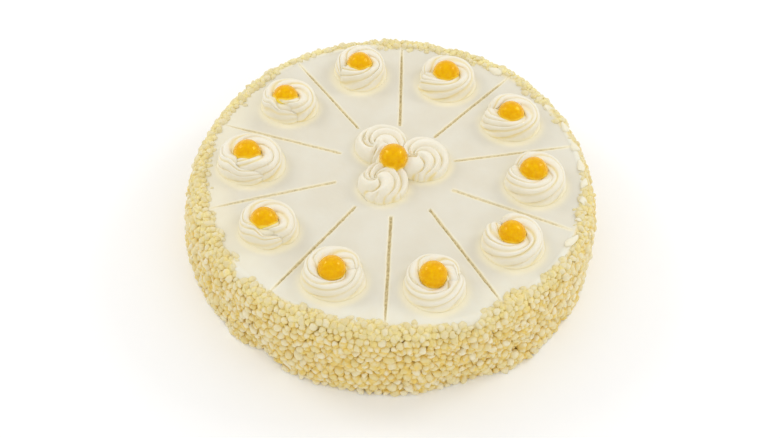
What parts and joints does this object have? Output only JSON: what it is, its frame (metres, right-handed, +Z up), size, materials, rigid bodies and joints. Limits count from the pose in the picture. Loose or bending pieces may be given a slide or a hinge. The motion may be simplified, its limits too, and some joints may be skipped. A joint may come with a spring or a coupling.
{
  "type": "layer cake",
  "caption": "Round iced mascarpone cake with a nugget-coated side, portion marks in the icing, and piped rosettes that hold glossy lemon-coloured balls.",
  "frame": {"origin": "centre of the flat base", "axes": "+Z up; the front of the cake, as pictured, faces -Y; +X to the right"},
  "size_m": [0.2618, 0.2619, 0.078],
  "materials": {
    "nugget_coat": "pale yellow crunch of white chocolate nuggets, matt with a slight waxy sheen",
    "icing": "smooth ivory icing, soft sheen",
    "cream": "piped cream, soft sheen",
    "lemon_ball": "orange-yellow glaze, glossy"
  },
  "bodies": {
    "root": {"cake": "nugget_coat", "rosette_01": "cream", "rosette_02": "cream", "rosette_03": "cream", "rosette_04": "cream", "rosette_05": "cream", "rosette_06": "cream", "rosette_07": "cream", "rosette_08": "cream", "rosette_09": "cream", "rosette_10": "cream", "centre_rosette_1": "cream", "centre_rosette_2": "cream", "centre_rosette_3": "cream", "ball_01": "lemon_ball", "ball_02": "lemon_ball", "ball_03": "lemon_ball", "ball_04": "lemon_ball", "ball_05": "lemon_ball", "ball_06": "lemon_ball", "ball_07": "lemon_ball", "ball_08": "lemon_ball", "ball_09": "lemon_ball", "ball_10": "lemon_ball", "ball_11": "lemon_ball"}
  },
  "joints": []
}
